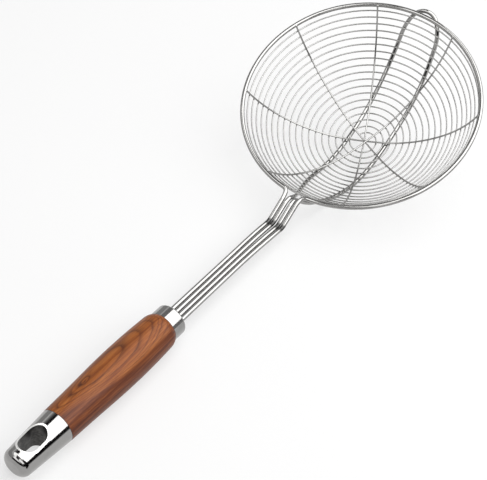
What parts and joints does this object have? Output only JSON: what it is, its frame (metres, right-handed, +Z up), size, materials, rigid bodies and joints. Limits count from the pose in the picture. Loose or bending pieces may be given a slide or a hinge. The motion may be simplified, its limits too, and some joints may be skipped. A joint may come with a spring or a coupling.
{
  "type": "spider skimmer",
  "caption": "Long-handled spider skimmer: a bowl of spiral wire mesh and ribs in a round wire rim, a wire shaft, and a turned wood grip with steel ferrule and end cap with a hanging hole.",
  "frame": {"origin": "on the surface that the skimmer lies on, under the middle of its overall length, in its plane of symmetry", "axes": "+X from the handle's butt to the far side of the bowl, +Z up at rest with the bowl's mouth upwards and leaning towards the handle, +Y to the left seen from the handle"},
  "size_m": [0.4114, 0.163, 0.0964],
  "materials": {
    "frame_steel": "bright drawn stainless wire",
    "mesh_steel": "thin drawn stainless wire",
    "polished_steel": "mirror polished stainless sheet",
    "plain_steel": "turned steel, hidden",
    "grip_wood": "reddish brown, oiled, satin"
  },
  "bodies": {
    "root": {"rim_wire": "frame_steel", "support_wire": "frame_steel", "spiral_wire": "mesh_steel", "rib_wire_1": "mesh_steel", "rib_wire_2": "mesh_steel", "rib_wire_3": "mesh_steel", "rib_wire_4": "mesh_steel", "ferrule": "polished_steel", "wire_plug": "plain_steel", "tang_rod": "plain_steel", "tang_washer": "plain_steel", "tang_nut": "plain_steel", "wood_grip": "grip_wood", "end_cap": "polished_steel", "hole_liner": "polished_steel"}
  },
  "joints": []
}
